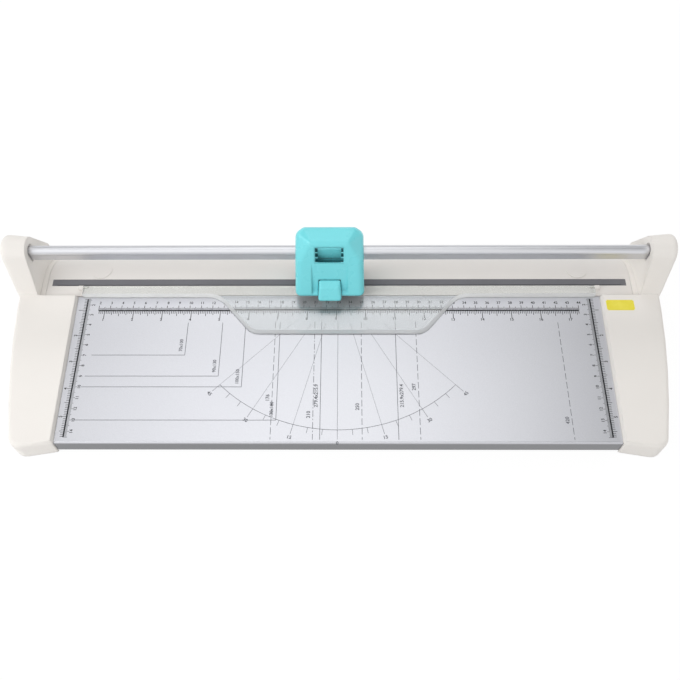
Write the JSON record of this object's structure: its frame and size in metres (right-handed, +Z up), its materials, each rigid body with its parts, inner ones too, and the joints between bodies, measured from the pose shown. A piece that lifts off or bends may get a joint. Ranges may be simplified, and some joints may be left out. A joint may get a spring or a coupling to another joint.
{
  "type": "sliding rotary paper cutter",
  "caption": "Paper trimmer with a printed metal plate between moulded side frames, a rail across the back, and a sliding carriage that presses a round blade onto a cutting strip.",
  "frame": {"origin": "on the table, under the middle of the whole trimmer's box", "axes": "+X along the rail to the user's right, -Y towards the user, +Z up"},
  "size_m": [0.572, 0.1972, 0.0765],
  "materials": {
    "plate": "satin silver paint, printed",
    "hidden_steel": "plain folded sheet",
    "bed_plastic": "fine matte",
    "strip_plastic": "matte, slightly soft",
    "frame_plastic": "fine matte",
    "rail_metal": "drawn, satin",
    "screw_steel": "zinc plated",
    "guard_clear": "clear, polished plastic",
    "rubber": "matte",
    "hood_plastic": "light gloss",
    "slider_plastic": "smooth, self-oiling",
    "inner_plastic": "matte",
    "blade_steel": "ground"
  },
  "bodies": {
    "base": {"base_plate": "plate", "left_plate_brace": "hidden_steel", "right_plate_brace": "hidden_steel", "rear_bed": "bed_plastic", "cutting_strip": "strip_plastic", "left_side_frame": "frame_plastic", "right_side_frame": "frame_plastic", "guide_rail": "rail_metal", "rail_screws": "screw_steel", "base_screws": "screw_steel", "guard_pins": "slider_plastic", "front_left_foot": "rubber", "front_right_foot": "rubber", "rear_left_foot": "rubber", "rear_right_foot": "rubber"},
    "guard": {"clear_guard": "guard_clear"},
    "carriage": {"carriage_hood": "hood_plastic", "rail_slider": "slider_plastic", "carriage_base": "inner_plastic", "carriage_screws": "screw_steel", "left_spring": "screw_steel", "right_spring": "screw_steel"},
    "press": {"press_tab": "hood_plastic", "blade_holder": "inner_plastic", "tab_screws": "screw_steel", "blade_axle": "screw_steel", "axle_nut": "screw_steel", "blade_washer": "screw_steel"},
    "blade": {"rotary_blade": "blade_steel"}
  },
  "joints": [
    {"name": "carriage_slide", "type": "slide", "parent": "base", "child": "carriage", "axis": [1, 0, 0], "range_m": [-0.227, 0.241]},
    {"name": "blade_press", "type": "slide", "parent": "carriage", "child": "press", "axis": [0, 0, -1], "range_m": [0, 0.005], "stiffness_N_per_m": 600, "springref_m": -0.003, "deforming": ["left_spring", "right_spring"]},
    {"name": "blade_spin", "type": "hinge", "parent": "press", "child": "blade", "pos_m": [-0.007, 0.05742, 0.0364], "axis": [0, 1, 0], "continuous": true},
    {"name": "guard_lift", "type": "hinge", "parent": "base", "child": "guard", "pos_m": [0, 0.05332, 0.02], "axis": [-1, 0, 0], "range_deg": [0, 6]}
  ]
}
